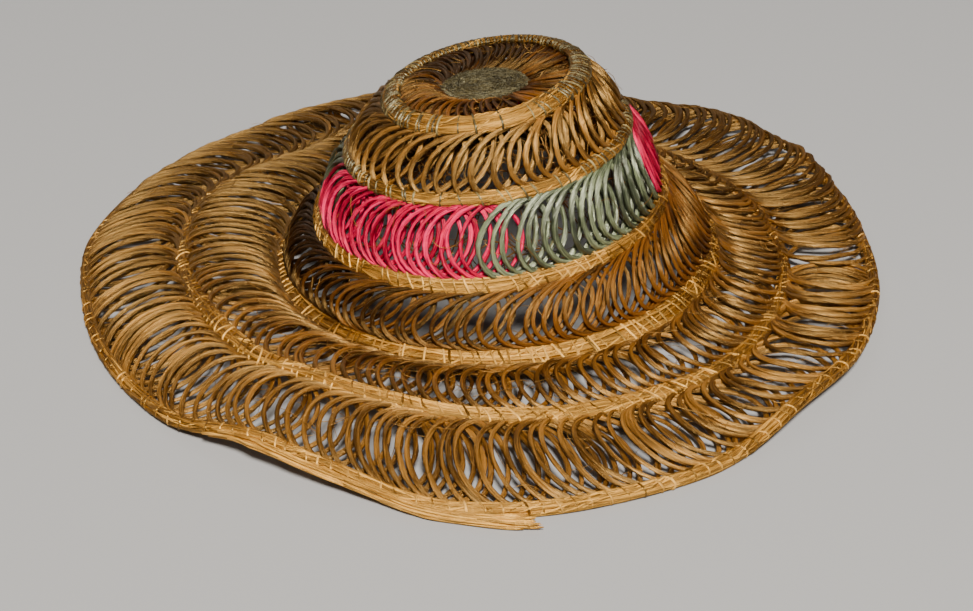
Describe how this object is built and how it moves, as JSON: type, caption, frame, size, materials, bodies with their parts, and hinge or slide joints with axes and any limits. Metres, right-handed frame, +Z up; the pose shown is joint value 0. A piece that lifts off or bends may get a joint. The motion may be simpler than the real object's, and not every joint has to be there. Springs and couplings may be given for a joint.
{
  "type": "wide-brimmed looped straw sun hat",
  "caption": "Open-work straw sun hat: a low round crown and a wide waved brim, worked in rings of slanting loops between flat stitched coils, with a dyed band of loops round the crown.",
  "frame": {"origin": "middle of the hat seen from above, at the height of the table that its brim's edge rests on", "axes": "+Z up through the crown, -Y towards the front with the loose end of the edge coil, +X towards the side that the crown's top rises to"},
  "size_m": [0.462, 0.4736, 0.1265],
  "materials": {
    "straw_loops": "dry golden brown straw cord",
    "straw_coils": "pale straw bundle, stitched over",
    "pink_loops": "straw cord dyed pink",
    "green_loops": "straw cord dyed grey green",
    "sage_disc": "matt woven sage straw"
  },
  "bodies": {
    "root": {"crown_disc": "sage_disc", "crown_top_loops": "straw_loops", "crown_top_coil": "straw_coils", "crown_wall_loops": "straw_loops", "crown_wall_coil": "straw_coils", "band_loops_pink_front": "pink_loops", "band_loops_green_front": "green_loops", "band_loops_pink_back": "pink_loops", "band_loops_green_back": "green_loops", "band_coil": "straw_coils", "crown_base_loops": "straw_loops", "crown_base_coil": "straw_coils", "brim_inner_loops": "straw_loops", "brim_middle_coil": "straw_coils", "brim_outer_loops": "straw_loops", "brim_edge_coil": "straw_coils", "brim_edge_coil_end": "straw_coils"}
  },
  "joints": []
}
